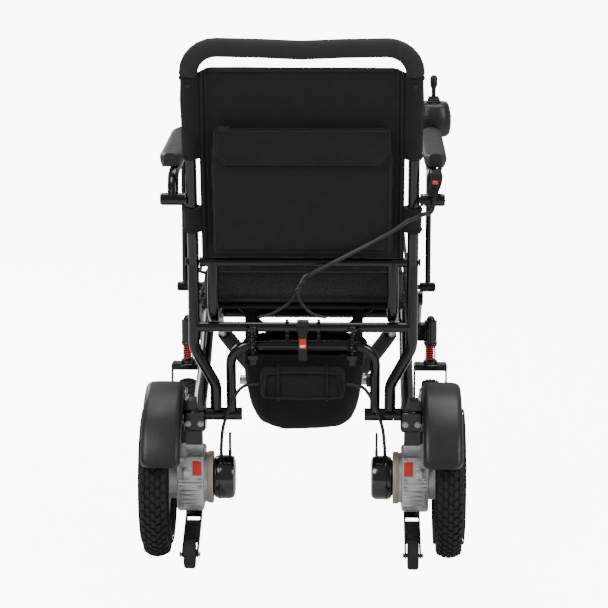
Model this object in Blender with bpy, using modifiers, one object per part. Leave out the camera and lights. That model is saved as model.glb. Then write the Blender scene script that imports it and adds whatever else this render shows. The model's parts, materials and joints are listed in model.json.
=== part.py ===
"""Folding power wheelchair, built as separate pieces.

Frame: metres, +Z up, +Y towards the front of the chair, +X to the rider's right.
Sizes below are measured from a point on the ground under the drive wheels' axle. The last
step moves every piece so that the origin is on the ground in the middle of the footprint.
"""
import math

import bmesh
import bpy
from mathutils import Matrix, Vector

# ---------------------------------------------------------------- driving dimensions
GAP = 0.0004
TUBE_R = 0.0105
BAR_R = 0.0095
BORE_GAP = 0.0004

AXLE_Z = 0.1525
WHEEL_R = 0.1525
WHEEL_W = 0.058
WHEEL_X = 0.2720
RIM_R = 0.106

MOTOR_IN = 0.1270
MOTOR_OUT = 0.1670
RING_OUT = 0.1835
GEARBOX_OUT = 0.2340
MOTOR_R = 0.041
MOTOR_Z = 0.150
GEARBOX_LOW = 0.0965
GEARBOX_TOP = 0.2032

LEG_X = 0.195
LEG_R = 0.0125
SHAFT = (0.0, 0.272)
FRONT_PIVOT = (0.40, 0.41)
SEAT_FRONT = (0.45, 0.44)
SEAT_REAR = (-0.03, 0.567)
KNEE = (-0.03, 0.445)
RECLINE = math.radians(16.0)
LINK_X = 0.1335
UBAR_Z = 0.409
BUFFER = (0.091, -0.0525)

BACK_X = 0.2006
TAIL_X = 0.161
TAIL_Z = 0.289
TOP_Q = 0.4234
ARM_PIVOT_Q = 0.1269

RAIL_X = 0.165
RAIL_Z = 0.455
STUD_Y = 0.29
POST_X = 0.238
POST_TOP = 0.7230

ARM_X = 0.234
PAD_X = (0.2195, 0.2615)
PAD_Y = (-0.04, 0.305)
PAD_Z = (0.745, 0.769)

STRUT = (0.254, 0.60)
TRAIL = 0.035
CASTER_R = 0.100
CASTER_W = 0.046
CASTER_RIM_R = 0.067
FRONT_LEG_X = 0.2205

ANTITIP_X = 0.203
ANTITIP_AXLE = (-0.165, 0.050)
ANTITIP_R = 0.026

FOOT_HINGE = (0.68, 0.171)
FOOTPLATE_FRONT = 0.820
FOOTPRINT_MIDDLE = (FOOTPLATE_FRONT + ANTITIP_AXLE[0] - ANTITIP_R) / 2

# ---------------------------------------------------------------- scene and collections
for old in list(bpy.data.objects):
    bpy.data.objects.remove(old, do_unlink=True)

SCENE = bpy.context.scene
PARTS = bpy.data.collections.new("power_wheelchair")
CUTTERS = bpy.data.collections.new("cutters")
SCENE.collection.children.link(PARTS)
SCENE.collection.children.link(CUTTERS)


# ---------------------------------------------------------------- materials
def material(name, colour, roughness, metallic=0.0):
    found = bpy.data.materials.get(name)
    if found:
        return found
    made = bpy.data.materials.new(name)
    made.use_nodes = True
    shader = made.node_tree.nodes["Principled BSDF"]
    shader.inputs["Base Color"].default_value = (*colour, 1.0)
    shader.inputs["Roughness"].default_value = roughness
    shader.inputs["Metallic"].default_value = metallic
    return made


BLACK_METAL = ("black_gloss_frame", (0.012, 0.014, 0.018), 0.2, 0.3)
SILVER_METAL = ("silver_alloy", (0.55, 0.56, 0.57), 0.35, 0.9)
BLACK_PLASTIC = ("black_plastic", (0.02, 0.02, 0.022), 0.35, 0.0)
GREY_PLASTIC = ("grey_plastic", (0.06, 0.063, 0.068), 0.55, 0.0)
RUBBER = ("black_rubber", (0.03, 0.03, 0.032), 0.8, 0.0)
FOAM = ("dark_foam", (0.05, 0.052, 0.055), 0.85, 0.0)
FABRIC = ("black_fabric", (0.015, 0.015, 0.018), 0.9, 0.0)
RED_METAL = ("red_spring", (0.7, 0.04, 0.03), 0.35, 0.2)


# ---------------------------------------------------------------- modelling helpers
def link_part(obj, name, look, smooth_angle=40.0):
    """Name a finished piece, give it its own material and put it in the parts collection."""
    for owner in list(obj.users_collection):
        owner.objects.unlink(obj)
    PARTS.objects.link(obj)
    obj.name = name
    obj.data.name = name
    obj.data.materials.clear()
    obj.data.materials.append(material(name + "_" + look[0], look[1], look[2], look[3]))
    obj.data.shade_smooth()
    obj.data.set_sharp_from_angle(angle=math.radians(smooth_angle))
    return obj


def evaluated_mesh(obj):
    bpy.context.view_layer.update()
    graph = bpy.context.evaluated_depsgraph_get()
    mesh = bpy.data.meshes.new_from_object(obj.evaluated_get(graph))
    shape = bmesh.new()
    shape.from_mesh(mesh)
    bmesh.ops.remove_doubles(shape, verts=shape.verts, dist=0.00001)
    shape.to_mesh(mesh)
    shape.free()
    return mesh


def to_mesh(obj):
    """Replace an object by a plain mesh object in world coordinates."""
    mesh = evaluated_mesh(obj)
    mesh.transform(obj.matrix_world)
    made = bpy.data.objects.new(obj.name, mesh)
    SCENE.collection.objects.link(made)
    bpy.data.objects.remove(obj, do_unlink=True)
    return made


def boolean(base, other, operation):
    for owner in list(other.users_collection):
        owner.objects.unlink(other)
    CUTTERS.objects.link(other)
    other.hide_render = True
    other.display_type = "WIRE"
    change = base.modifiers.new("Boolean", "BOOLEAN")
    change.operation = operation
    change.solver = "EXACT"
    change.object = other
    made = to_mesh(base)
    bpy.data.objects.remove(other, do_unlink=True)
    return made


def fuse(*pieces):
    whole = pieces[0]
    for piece in pieces[1:]:
        whole = boolean(whole, piece, "UNION")
    return whole


def cut(base, *cutters):
    for cutter in cutters:
        base = boolean(base, cutter, "DIFFERENCE")
    return base


def rounded(points, radius, steps=4):
    """Replace each inner corner of a polyline by an arc of the given radius."""
    path = [Vector(points[0])]
    for before, corner, after in zip(points, points[1:], points[2:]):
        before, corner, after = Vector(before), Vector(corner), Vector(after)
        to_before = (before - corner).normalized()
        to_after = (after - corner).normalized()
        half = to_before.angle(to_after) / 2
        reach = min(radius / math.tan(half), (before - corner).length * 0.49,
                    (after - corner).length * 0.49)
        bend = reach * math.tan(half)
        centre = corner + (to_before + to_after).normalized() * bend / math.sin(half)
        first = corner + to_before * reach - centre
        last = corner + to_after * reach - centre
        sweep = first.angle(last)
        axis = first.cross(last).normalized()
        for step in range(steps + 1):
            path.append(centre + Matrix.Rotation(sweep * step / steps, 3, axis) @ first)
    path.append(Vector(points[-1]))
    return path


def tube(points, radius, resolution=3, caps=True):
    curve = bpy.data.curves.new("tube", "CURVE")
    curve.dimensions = "3D"
    spline = curve.splines.new("POLY")
    spline.points.add(len(points) - 1)
    for slot, place in zip(spline.points, points):
        slot.co = (place[0], place[1], place[2], 1.0)
    curve.bevel_depth = radius
    curve.bevel_resolution = resolution
    curve.use_fill_caps = caps
    obj = bpy.data.objects.new("tube", curve)
    SCENE.collection.objects.link(obj)
    return to_mesh(obj)


def sleeve(points, outer, inner, resolution=3):
    """A hollow sleeve along a path, closed at both ends by its wall."""
    obj = tube(points, outer, resolution, caps=False)
    wall = obj.modifiers.new("Wall", "SOLIDIFY")
    wall.thickness = outer - inner
    wall.offset = -1.0
    return to_mesh(obj)


def box(low, high, bevel=0.0, segments=1):
    bpy.ops.mesh.primitive_cube_add(size=1.0)
    obj = bpy.context.active_object
    low, high = Vector(low), Vector(high)
    obj.data.transform(Matrix.Diagonal((*(high - low), 1.0)))
    obj.location = (low + high) / 2
    if bevel:
        edge = obj.modifiers.new("Bevel", "BEVEL")
        edge.width = bevel
        edge.segments = segments
    return to_mesh(obj)


def side_box(side, x_in, x_out, y_range, z_range, bevel=0.0, segments=1):
    xs = sorted((side * x_in, side * x_out))
    return box((xs[0], y_range[0], z_range[0]), (xs[1], y_range[1], z_range[1]), bevel, segments)


def bar(start, end, thick_x, depth):
    """A straight flat bar between two points in one fore-and-aft plane."""
    start, end = Vector(start), Vector(end)
    bpy.ops.mesh.primitive_cube_add(size=1.0)
    obj = bpy.context.active_object
    obj.data.transform(Matrix.Diagonal((thick_x, depth, (end - start).length, 1.0)))
    obj.rotation_mode = "QUATERNION"
    obj.rotation_quaternion = Vector((0, 0, 1)).rotation_difference(end - start)
    obj.location = (start + end) / 2
    return to_mesh(obj)


def drum(start, end, radius, sides=16, bevel=0.0):
    """A cylinder between two points."""
    start, end = Vector(start), Vector(end)
    bpy.ops.mesh.primitive_cylinder_add(vertices=sides, radius=radius, depth=(end - start).length)
    obj = bpy.context.active_object
    if bevel:
        edge = obj.modifiers.new("Bevel", "BEVEL")
        edge.width = bevel
        edge.segments = 2
        edge.limit_method = "ANGLE"
        edge.angle_limit = math.radians(60)
    obj.rotation_mode = "QUATERNION"
    obj.rotation_quaternion = Vector((0, 0, 1)).rotation_difference(end - start)
    obj.location = (start + end) / 2
    return to_mesh(obj)


def side_drum(side, x_in, x_out, y, z, radius, sides=16, bevel=0.0):
    return drum((side * x_in, y, z), (side * x_out, y, z), radius, sides, bevel)


def collar(side, x_in, x_out, y, z, outer, inner, sides=16):
    ring = side_drum(side, x_in, x_out, y, z, outer, sides)
    bore = side_drum(side, x_in - 0.01, x_out + 0.01, y, z, inner, sides)
    return cut(ring, bore)


def lathe(profile, steps, closed=False):
    """Turn a profile of (radius, height), which runs down its outer side, about +Z."""
    mesh = bpy.data.meshes.new("profile")
    points = [(radius, 0.0, height) for radius, height in profile]
    edges = [(i, i + 1) for i in range(len(points) - 1)]
    if closed:
        edges.append((len(points) - 1, 0))
    mesh.from_pydata(points, edges, [])
    obj = bpy.data.objects.new("lathe", mesh)
    SCENE.collection.objects.link(obj)
    turn = obj.modifiers.new("Screw", "SCREW")
    turn.axis = "Z"
    turn.steps = steps
    turn.render_steps = steps
    turn.use_merge_vertices = True
    turn.merge_threshold = 0.00001
    return to_mesh(obj)


def turn_to_x(obj, x, y, z):
    obj.data.transform(Matrix.Translation((x, y, z)) @ Matrix.Rotation(math.pi / 2, 4, "Y"))
    return obj


def coil(centre, radius, wire, bottom, top, turns, per_turn=10):
    count = int(turns * per_turn)
    points = []
    for step in range(count + 1):
        t = step / count
        angle = 2 * math.pi * turns * t
        height = bottom + wire + (top - bottom - 2 * wire) * t
        points.append((centre[0] + radius * math.cos(angle),
                       centre[1] + radius * math.sin(angle), height))
    return tube(points, wire, resolution=1)


def set_origin(obj, point):
    obj.data.transform(Matrix.Translation(-Vector(point)))
    obj.location = point
    return obj


def on_back(x, q, depth=0.0):
    """A point of the back: q runs up it from the seat hinge, depth runs forwards."""
    if q < 0:
        return (x, SEAT_REAR[0] + depth, SEAT_REAR[1] + q)
    return (x,
            SEAT_REAR[0] - q * math.sin(RECLINE) + depth * math.cos(RECLINE),
            SEAT_REAR[1] + q * math.cos(RECLINE) + depth * math.sin(RECLINE))


def back_panel(outline, near, far):
    """A flat panel in the plane of the back, from an outline of (x, q) corners."""
    mesh = bpy.data.meshes.new("panel")
    count = len(outline)
    points = [(x, depth, q) for depth in (near, far) for x, q in outline]
    faces = [list(range(count)), list(range(2 * count - 1, count - 1, -1))]
    for index in range(count):
        after = (index + 1) % count
        faces.append([index, index + count, after + count, after])
    mesh.from_pydata(points, [], faces)
    shape = bmesh.new()
    shape.from_mesh(mesh)
    bmesh.ops.recalc_face_normals(shape, faces=shape.faces)
    shape.to_mesh(mesh)
    shape.free()
    mesh.transform(Matrix.Translation((0, *SEAT_REAR)) @ Matrix.Rotation(RECLINE, 4, "X"))
    obj = bpy.data.objects.new("panel", mesh)
    SCENE.collection.objects.link(obj)
    return obj


SIDES = (("left", -1), ("right", 1))
ARM_Y, ARM_Z = on_back(0, ARM_PIVOT_Q)[1:]


# ---------------------------------------------------------------- base: rear legs and drives
def rear_frame():
    pieces = []
    bores = []
    for _, side in SIDES:
        leg = rounded([(side * LEG_X, -0.004, 0.268), (side * LEG_X, 0.203, 0.325),
                       (side * LEG_X, 0.355, 0.387), (side * LEG_X, 0.458, 0.4170)], 0.12, 2)
        pieces.append(tube(leg, LEG_R))
        pieces.append(side_box(side, 0.1813, 0.2215, (-0.030, 0.030), (0.245, 0.284), 0.003))
        pieces.append(side_box(side, 0.1880, 0.2185, (-0.016, 0.016), (0.2172, 0.2460)))
        pieces.append(side_drum(side, 0.1680, 0.1820, *SHAFT, 0.0120))
        pieces.append(side_drum(side, 0.1160, 0.1690, *SHAFT, 0.0080))
        pieces.append(side_drum(side, 0.1810, 0.2087, *FRONT_PIVOT, 0.0165, 20))
        pieces.append(side_box(side, 0.1890, 0.2010, (0.4615, 0.4655), (0.4100, 0.4420)))
        pieces.append(side_box(side, 0.1890, 0.2010, (0.4400, 0.4650), (0.4080, 0.4200)))
        pieces.append(side_box(side, 0.1990, 0.2240, (-0.022, 0.012), (0.2760, 0.3020)))
        bores.append(side_drum(side, 0.1700, 0.2200, *FRONT_PIVOT, 0.0084))
    pieces.append(drum((-0.195, 0.36, 0.387), (0.195, 0.36, 0.387), BAR_R))
    return link_part(cut(fuse(*pieces), *bores), "rear_frame", BLACK_METAL)


def gearbox(name, side):
    body = side_box(side, 0.1830, GEARBOX_OUT, (-0.050, 0.050), (GEARBOX_LOW, GEARBOX_TOP),
                    0.006, 2)
    neck = side_box(side, 0.1880, 0.2180, (-0.018, 0.018), (0.1980, 0.2167))
    ring = side_drum(side, MOTOR_OUT + 0.0004, RING_OUT, 0, MOTOR_Z, 0.047, 24)
    flange = side_box(side, 0.1860, GEARBOX_OUT - 0.002, (-0.053, 0.053), (0.1480, 0.1520))
    return link_part(fuse(body, neck, ring, flange), "gearbox_" + name, SILVER_METAL)


def motor_cover(name, side):
    body = side_drum(side, MOTOR_IN, MOTOR_OUT, 0, MOTOR_Z, MOTOR_R, 24, 0.009)
    return link_part(body, "motor_cover_" + name, BLACK_PLASTIC)


def freewheel_lever(name, side):
    pivot = (side * 0.137, 0.0, 0.1972)
    knob = side_drum(side, 0.1340, 0.1400, 0, 0.1972, 0.0055, 12)
    blade = side_box(side, 0.1346, 0.1394, (-0.004, 0.004), (0.1990, 0.2360), 0.001)
    lever = link_part(fuse(knob, blade), "freewheel_lever_" + name, BLACK_PLASTIC)
    return set_origin(lever, pivot)


def fender(name, side):
    """A curved shell over the upper rear of the tyre, its side edges turned down."""
    section = [(-0.0363, 0.1580), (-0.0363, 0.1680), (-0.0330, 0.1735), (-0.0260, 0.1770),
               (0.0260, 0.1770), (0.0330, 0.1735), (0.0363, 0.1680), (0.0363, 0.1580),
               (0.0337, 0.1580), (0.0337, 0.1672), (0.0312, 0.1715), (0.0250, 0.1744),
               (-0.0250, 0.1744), (-0.0312, 0.1715), (-0.0337, 0.1672), (-0.0337, 0.1580)]
    arc_from, arc_to, rows = math.radians(80), math.radians(160), 16
    x_mid = 0.2568
    mesh = bpy.data.meshes.new("fender")
    points = []
    for row in range(rows + 1):
        angle = arc_from + (arc_to - arc_from) * row / rows
        for across, radius in section:
            points.append((side * (x_mid + across), radius * math.cos(angle),
                           AXLE_Z + radius * math.sin(angle)))
    count = len(section)
    faces = [list(range(count)), list(range(len(points) - 1, len(points) - count - 1, -1))]
    for row in range(rows):
        for index in range(count):
            after = (index + 1) % count
            low = row * count
            faces.append([low + index, low + count + index, low + count + after, low + after])
    mesh.from_pydata(points, [], faces)
    shape = bmesh.new()
    shape.from_mesh(mesh)
    bmesh.ops.triangulate(shape, faces=[face for face in shape.faces if len(face.verts) > 4])
    bmesh.ops.recalc_face_normals(shape, faces=shape.faces)
    shape.to_mesh(mesh)
    shape.free()
    obj = bpy.data.objects.new("fender", mesh)
    SCENE.collection.objects.link(obj)
    return link_part(obj, "fender_" + name, GREY_PLASTIC)


def antitip_arm(name, side):
    pieces = []
    y_low, z_low = ANTITIP_AXLE
    for offset in (-0.0135, 0.0135):
        x = side * ANTITIP_X + offset
        pieces.append(bar((x, -0.030, 0.0880), (x, y_low, z_low), 0.003, 0.014))
    x_mid = side * ANTITIP_X
    pieces.append(bar((x_mid, -0.060, 0.0811), (x_mid, -0.125, 0.0619), 0.028, 0.006))
    pieces.append(drum((x_mid - 0.017, y_low, z_low), (x_mid + 0.017, y_low, z_low), 0.0036, 10))
    pieces.append(box((x_mid - 0.015, -0.046, 0.0850), (x_mid + 0.015, -0.006, 0.0961)))
    return link_part(fuse(*pieces), "antitip_arm_" + name, BLACK_METAL)


def wheel_ring(outer, inner, width, steps):
    """The closed ring of a tyre, with a rounded tread."""
    half = width / 2
    depth = outer - inner
    points = [(inner, half * 0.60), (inner + depth * 0.30, half * 0.92),
              (inner + depth * 0.65, half), (inner + depth * 0.88, half * 0.86),
              (outer, half * 0.50), (outer, -half * 0.50), (inner + depth * 0.88, -half * 0.86),
              (inner + depth * 0.65, -half), (inner + depth * 0.30, -half * 0.92),
              (inner, -half * 0.60)]
    return lathe(points, steps, closed=True)


def antitip_wheel(name, side):
    half, bore = 0.0105, 0.0041
    profile = [(bore, half), (ANTITIP_R - 0.003, half), (ANTITIP_R, half - 0.003),
               (ANTITIP_R, -half + 0.003), (ANTITIP_R - 0.003, -half), (bore, -half)]
    obj = turn_to_x(lathe(profile, 24, closed=True), 0, 0, 0)
    link_part(obj, "antitip_wheel_" + name, RUBBER)
    obj.location = (side * ANTITIP_X, *ANTITIP_AXLE)
    return obj


def spoked_rim(radius, lip, width, hub_r, hub_half, spokes, spoke_w, steps):
    """A cast rim about +Z: a ring, a hub and flat spokes."""
    half = width / 2
    ring = lathe([(radius - lip, half), (radius, half), (radius, -half), (radius - lip, -half)],
                 steps, closed=True)
    whole = [ring, drum((0, 0, -hub_half), (0, 0, hub_half), hub_r, 20)]
    for index in range(spokes):
        spoke = box((-spoke_w / 2, hub_r * 0.6, -half * 0.30),
                    (spoke_w / 2, radius - lip * 0.5, half * 0.30))
        spoke.data.transform(Matrix.Rotation(2 * math.pi * index / spokes, 4, "Z"))
        whole.append(spoke)
    return fuse(*whole)


def rear_wheel(name, side):
    centre = (side * WHEEL_X, 0.0, AXLE_Z)
    tyre = turn_to_x(wheel_ring(WHEEL_R, RIM_R + GAP, WHEEL_W, 40), 0, 0, 0)
    link_part(tyre, "rear_tyre_" + name, RUBBER)
    tyre.location = centre
    rim = turn_to_x(spoked_rim(RIM_R, 0.012, 0.034, 0.026, 0.022, 5, 0.024, 40), 0, 0, 0)
    inner = -side * (WHEEL_X - GEARBOX_OUT - 0.0005)
    rim = fuse(rim, drum((inner, 0, 0), (-side * 0.002, 0, 0), 0.043, 24))
    rim = link_part(rim, "rear_rim_" + name, SILVER_METAL)
    rim.location = centre


# ---------------------------------------------------------------- footrest
def footrest():
    pieces = []
    for _, side in SIDES:
        path = rounded([(side * 0.1720, 0.318, 0.3900), (side * 0.1720, 0.360, 0.351),
                        (side * 0.110, 0.480, 0.238), (side * 0.105, *FOOT_HINGE)], 0.06, 3)
        pieces.append(tube(path, 0.0080))
        pieces.append(side_box(side, 0.1700, 0.1821, (0.312, 0.342), (0.362, 0.388)))
    pieces.append(drum((-0.150, *FOOT_HINGE), (0.150, *FOOT_HINGE), 0.0100, 16))
    link_part(fuse(*pieces), "footrest_hanger", SILVER_METAL)
    plate = box((-0.125, 0.6925, 0.1660), (0.125, FOOTPLATE_FRONT, 0.1760), 0.003)
    ears = []
    bores = []
    for _, side in SIDES:
        ears.append(side_drum(side, 0.1200, 0.1320, *FOOT_HINGE, 0.0150))
        ears.append(side_box(side, 0.1200, 0.1250, (0.680, 0.700), (0.1665, 0.1755)))
        bores.append(side_drum(side, 0.1150, 0.1400, *FOOT_HINGE, 0.0104))
    plate = cut(fuse(plate, *ears), *bores)
    set_origin(link_part(plate, "footplate", BLACK_PLASTIC), (0, *FOOT_HINGE))


# ---------------------------------------------------------------- rear support link
def link_frame():
    foot_y, foot_z = SHAFT
    ubar_y = foot_y + (KNEE[0] - foot_y) * (UBAR_Z - foot_z) / (KNEE[1] - foot_z)
    path = rounded([(-LINK_X, foot_y, foot_z), (-LINK_X, ubar_y, UBAR_Z),
                    (LINK_X, ubar_y, UBAR_Z), (LINK_X, foot_y, foot_z)], 0.037, 5)
    pieces = [tube(path, BAR_R)]
    bores = []
    for _, side in SIDES:
        pieces.append(side_drum(side, 0.1140, 0.1675, foot_y, foot_z, 0.0120))
        bores.append(side_drum(side, 0.1130, 0.1770, foot_y, foot_z, 0.0084))
        pieces.append(side_drum(side, 0.0260, 0.0320, *KNEE, 0.0145))
        pieces.append(side_box(side, 0.0260, 0.0320, (ubar_y - 0.009, ubar_y + 0.007),
                               (UBAR_Z, 0.4400)))
        bores.append(side_drum(side, 0.0200, 0.0380, *KNEE, 0.0099))
        x, y = side * BUFFER[0], BUFFER[1]
        pieces.append(box((x - 0.009, y - 0.009, 0.3900), (x + 0.009, ubar_y, 0.3975)))
        pieces.append(side_box(side, BUFFER[0] - 0.007, BUFFER[0] + 0.007,
                               (ubar_y - 0.014, ubar_y - 0.002), (0.3910, 0.4060)))
        bores.append(drum((x, y, 0.3800), (x, y, 0.4100), 0.0036, 12))
    frame = cut(fuse(*pieces), *bores)
    set_origin(link_part(frame, "link_frame", BLACK_METAL), (0, *SHAFT))
    for name, side in SIDES:
        x, y = side * BUFFER[0], BUFFER[1]
        bolt = fuse(drum((x, y, 0.3805), (x, y, 0.4460), 0.0030, 12),
                    drum((x, y, 0.3790), (x, y, 0.3893), 0.0065, 6),
                    drum((x, y, 0.4410), (x, y, 0.4520), 0.0085, 16, 0.003))
        link_part(bolt, "buffer_bolt_" + name, SILVER_METAL)
        spring = coil((x, y), 0.0068, 0.0012, 0.3980, 0.4404, 5)
        link_part(spring, "buffer_spring_" + name, BLACK_METAL)
    wrap = box((-0.078, -0.058, 0.313), (0.078, -0.027, 0.372), 0.010, 3)
    link_part(wrap, "cable_wrap", FABRIC)


# ---------------------------------------------------------------- back
def back_path():
    """The back tube from one bare lower end, up and over the top bar, to the other."""
    tail_q = TAIL_Z - SEAT_REAR[1]
    side = [(TAIL_X, tail_q), (TAIL_X, -0.232), (BACK_X, -0.160), (BACK_X, 0.0), (BACK_X, TOP_Q)]
    half = [on_back(x, q) for x, q in side]
    lower = rounded(half[:4] + [on_back(BACK_X, 0.12)], 0.035, 3)
    corner = rounded([on_back(BACK_X, 0.12), half[4], on_back(0.07, TOP_Q - 0.003)], 0.050, 6)
    right = lower[:-1] + corner
    middle = [Vector(on_back(0, TOP_Q - 0.0062))]
    return right + middle + [Vector((-p.x, p.y, p.z)) for p in reversed(right)]


def back_frame():
    pieces = [tube(back_path(), TUBE_R, 3)]
    pieces.append(drum((-0.1975, *KNEE), (0.1975, *KNEE), BAR_R))
    bores = []
    for _, side in SIDES:
        pieces.append(side_drum(side, 0.1960, 0.2555, ARM_Y, ARM_Z, 0.0060, 12))
        pieces.append(side_drum(side, 0.2554, 0.2575, ARM_Y, ARM_Z, 0.0100, 16))
        bores.append(side_drum(side, 0.1850, 0.2200, *SEAT_REAR, 0.0044, 12))
    link_part(cut(fuse(*pieces), *bores), "back_frame", BLACK_METAL)


def back_covers():
    start = Vector(on_back(BACK_X, 0.3714))
    inner = [p for p in back_path() if p.z > start.z + 0.001]
    grip = [start] + inner + [Vector((-start.x, start.y, start.z))]
    link_part(sleeve(grip, 0.0172, 0.0116), "push_bar_grip", FOAM)
    outline = [(-0.184, 0.0114), (0.184, 0.0114), (0.184, 0.368), (0.160, 0.384),
               (-0.160, 0.384), (-0.184, 0.368)]
    link_part(back_panel(outline, -0.0045, 0.0015), "back_sling", FABRIC)
    flap_low = 0.2175
    outline = [(-0.168, 0.027), (0.168, 0.027), (0.168, flap_low - 0.001), (0.160, 0.279),
               (-0.160, 0.279), (-0.168, flap_low - 0.001)]
    pocket = back_panel(outline, -0.0220, -0.0049)
    edge = pocket.modifiers.new("Bevel", "BEVEL")
    edge.width = 0.005
    edge.segments = 2
    link_part(to_mesh(pocket), "back_pocket", FABRIC)
    outline = [(-0.156, 0.281), (0.156, 0.281), (0.156, 0.236), (0.140, flap_low),
               (-0.140, flap_low), (-0.156, 0.236)]
    flap = link_part(back_panel(outline, -0.0258, -0.0225), "pocket_flap", FABRIC)
    set_origin(flap, on_back(0, 0.281, -0.0242))


def joystick_cable():
    points = [(0.195, 0.107, -0.036), (0.165, 0.083, -0.036), (0.120, 0.055, -0.036),
              (0.070, 0.026, -0.036), (0.030, 0.003, -0.036), (0.006, -0.022, -0.028),
              (-0.010, -0.050, -0.028)]
    path = [on_back(*point) for point in points]
    link_part(tube(path, 0.0045, 2), "joystick_cable", RUBBER)


def latch_hook():
    """The hook that ties the crossbar to the support link."""
    y, z = KNEE
    hub = collar(1, -0.0110, 0.0110, y, z, 0.0140, BAR_R + BORE_GAP)
    strap = box((-0.0080, y - 0.0175, 0.3860), (0.0080, y - 0.0120, z + 0.002))
    lip = box((-0.0080, y - 0.0175, 0.3850), (0.0080, y + 0.0060, 0.3905))
    hook = link_part(fuse(hub, strap, lip), "latch_hook", BLACK_PLASTIC)
    set_origin(hook, (0, *KNEE))


# ---------------------------------------------------------------- armrests
def armrest(name, side):
    ring = collar(side, 0.2125, 0.2185, ARM_Y, ARM_Z, 0.0115, 0.0064)
    set_origin(link_part(ring, "arm_collar_" + name, BLACK_METAL), (side * 0.2155, ARM_Y, ARM_Z))
    bush = side_drum(side, 0.2190, 0.2550, ARM_Y, ARM_Z, 0.0115)
    upright = tube(rounded([(side * ARM_X, ARM_Y, ARM_Z + 0.003),
                            (side * ARM_X, ARM_Y + 0.006, 0.7345),
                            (side * ARM_X, 0.2950, 0.7345)], 0.030, 4), 0.0100)
    frame = cut(fuse(upright, bush), side_drum(side, 0.2100, 0.2600, ARM_Y, ARM_Z, 0.0064, 12))
    set_origin(link_part(frame, "armrest_frame_" + name, BLACK_METAL), (0, ARM_Y, ARM_Z))
    xs = sorted((side * PAD_X[0], side * PAD_X[1]))
    pad = box((xs[0], PAD_Y[0], PAD_Z[0]), (xs[1], PAD_Y[1], PAD_Z[1]), 0.006, 2)
    set_origin(link_part(pad, "armrest_pad_" + name, RUBBER), (0, ARM_Y, ARM_Z))


def armrest_post(name, side):
    ring = side_drum(side, 0.2220, 0.2515, STUD_Y, RAIL_Z, 0.0095)
    rod = drum((side * POST_X, STUD_Y, RAIL_Z + 0.003), (side * POST_X, STUD_Y, POST_TOP), 0.0055, 12)
    post = cut(fuse(ring, rod), side_drum(side, 0.2100, 0.2600, STUD_Y, RAIL_Z, 0.0054, 12))
    set_origin(link_part(post, "armrest_post_" + name, BLACK_METAL), (0, STUD_Y, RAIL_Z))


def controller():
    body = box((0.2150, 0.3060, 0.7450), (0.2820, 0.3980, 0.8100), 0.012, 2)
    set_origin(link_part(body, "joystick_box", GREY_PLASTIC), (0, ARM_Y, ARM_Z))
    x, y = 0.2475, 0.352
    base = lathe([(0, 0.8180), (0.0045, 0.8180), (0.0060, 0.8165), (0.0060, 0.8145), (0, 0.8145)], 16)
    base.data.transform(Matrix.Translation((x, y, 0)))
    set_origin(link_part(base, "joystick_gimbal", BLACK_PLASTIC), (x, y, 0.812))
    profile = [(0, 0.8650), (0.0045, 0.8642), (0.0075, 0.8590), (0.0070, 0.8440),
               (0.0042, 0.8380), (0.0042, 0.8210), (0, 0.8210)]
    stick = lathe(profile, 12)
    stick.data.transform(Matrix.Translation((x, y, 0)))
    set_origin(link_part(stick, "joystick_knob", BLACK_PLASTIC), (x, y, 0.812))


# ---------------------------------------------------------------- seat
def seat_frame():
    rear_y, rear_z = SEAT_REAR
    pieces = [drum((-0.1895, rear_y, rear_z), (0.1895, rear_y, rear_z), 0.0090)]
    for _, side in SIDES:
        path = rounded([(side * RAIL_X, rear_y, rear_z), (side * RAIL_X, rear_y, RAIL_Z),
                        (side * RAIL_X, 0.38, RAIL_Z), (side * RAIL_X, *SEAT_FRONT)], 0.035, 5)
        pieces.append(tube(path, TUBE_R))
        pieces.append(side_drum(side, 0.1885, 0.2125, rear_y, rear_z, 0.0040, 12))
        pieces.append(side_drum(side, 0.2115, 0.2155, rear_y, rear_z, 0.0070, 12, 0.001))
        pieces.append(side_drum(side, 0.1640, 0.2525, STUD_Y, RAIL_Z, 0.0050, 12))
        pieces.append(side_drum(side, 0.2520, 0.2535, STUD_Y, RAIL_Z, 0.0085, 16))
        pieces.append(tube([(side * RAIL_X, 0.268, 0.4520), (0, 0.268, 0.3060)], 0.0065, 2))
    pieces.append(drum((-0.205, *SEAT_FRONT), (0.205, *SEAT_FRONT), BAR_R))
    pieces.append(drum((-0.2150, STUD_Y, RAIL_Z), (0.2150, STUD_Y, RAIL_Z), 0.0090))
    set_origin(link_part(fuse(*pieces), "seat_frame", BLACK_METAL), (0, *SEAT_REAR))


def seat_soft():
    sling = box((-0.1880, 0.006, 0.4662), (0.1880, 0.430, 0.4776), 0.002)
    set_origin(link_part(sling, "seat_sling", FABRIC), (0, *SEAT_REAR))
    cushion = box((-0.1900, 0.006, 0.4780), (0.1900, 0.432, 0.5480), 0.016, 3)
    set_origin(link_part(cushion, "seat_cushion", FABRIC), (0, *SEAT_REAR))


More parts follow.
